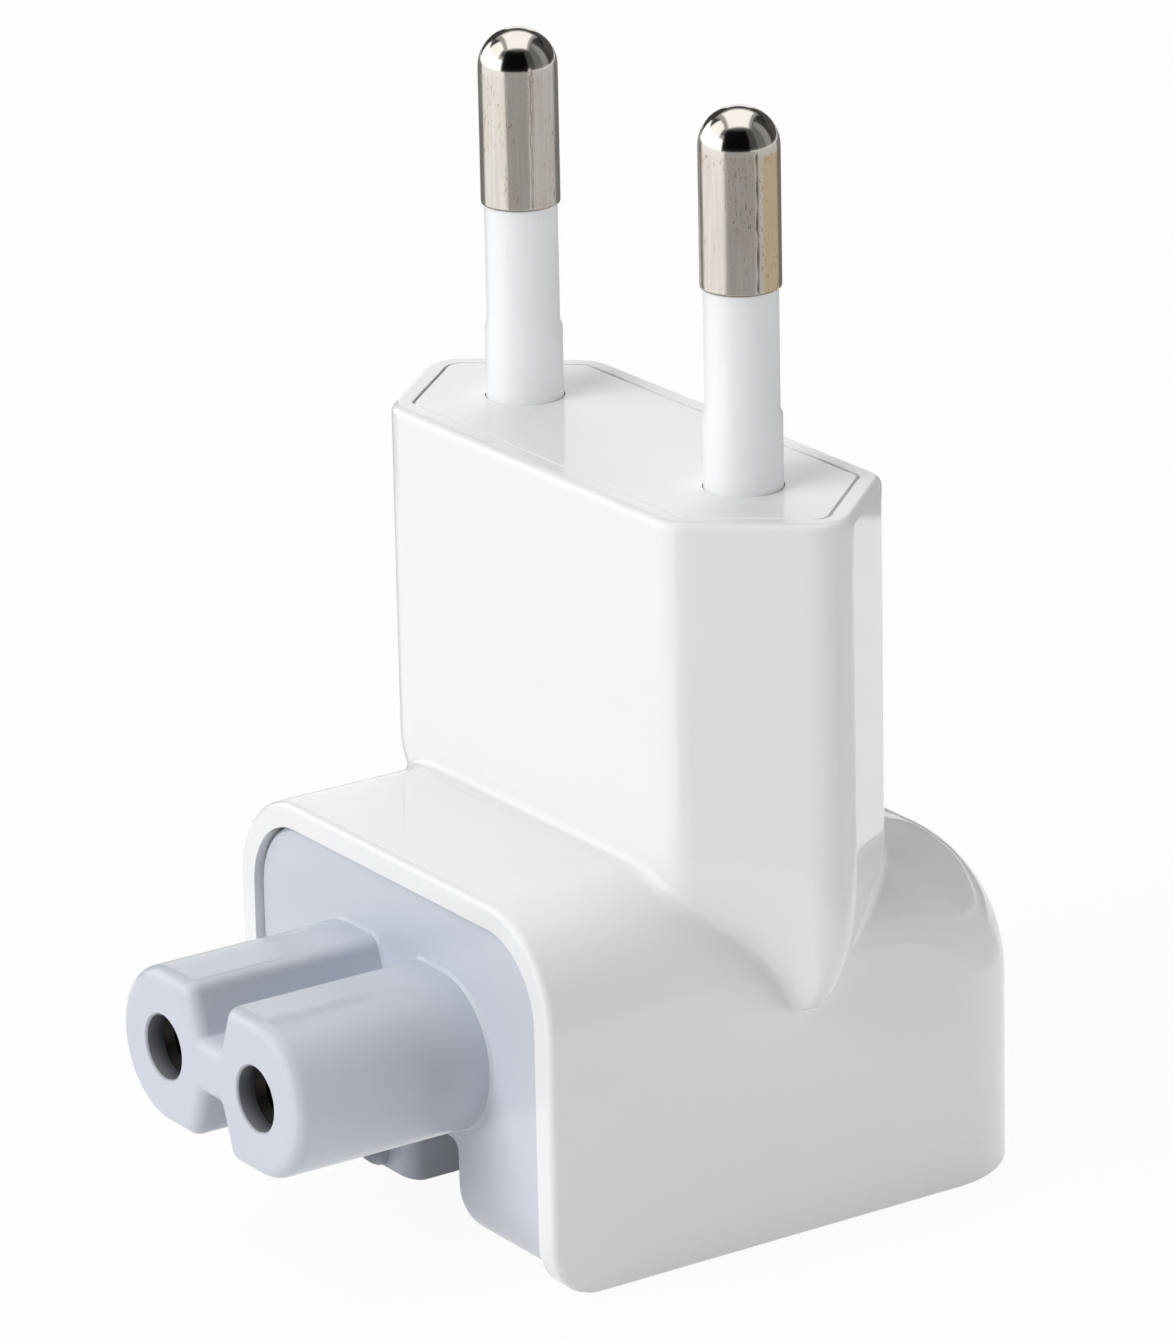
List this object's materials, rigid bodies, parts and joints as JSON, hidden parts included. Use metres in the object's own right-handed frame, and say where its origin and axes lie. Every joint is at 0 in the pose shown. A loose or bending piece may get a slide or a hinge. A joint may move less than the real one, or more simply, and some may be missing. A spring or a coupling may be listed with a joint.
{
  "type": "charger plug adapter",
  "caption": "Clip-on mains plug head for a power adapter: white rounded body with a flat pin plug on top and a grey figure-eight connector in front.",
  "frame": {"origin": "centre of the overall box, at the base that the body stands on", "axes": "+Z along the pins out of the plug face, -Y out of the figure-eight nose, X across the pins"},
  "size_m": [0.0346, 0.0406, 0.0568],
  "materials": {
    "white_shell": "polished moulding",
    "white_plate": "polished moulding",
    "pin_metal": "nickel plate, polished at the tip",
    "pin_sleeve": "smooth",
    "grey_insert": "satin",
    "contact_metal": "nickel plate",
    "strip_brass": "rolled"
  },
  "bodies": {
    "root": {"housing": "white_shell", "plug_face_plate": "white_plate", "left_pin": "pin_metal", "right_pin": "pin_metal", "left_pin_sleeve": "pin_sleeve", "right_pin_sleeve": "pin_sleeve", "connector_insert": "grey_insert", "left_contact_socket": "contact_metal", "right_contact_socket": "contact_metal", "left_bus_strip": "strip_brass", "right_bus_strip": "strip_brass"}
  },
  "joints": []
}
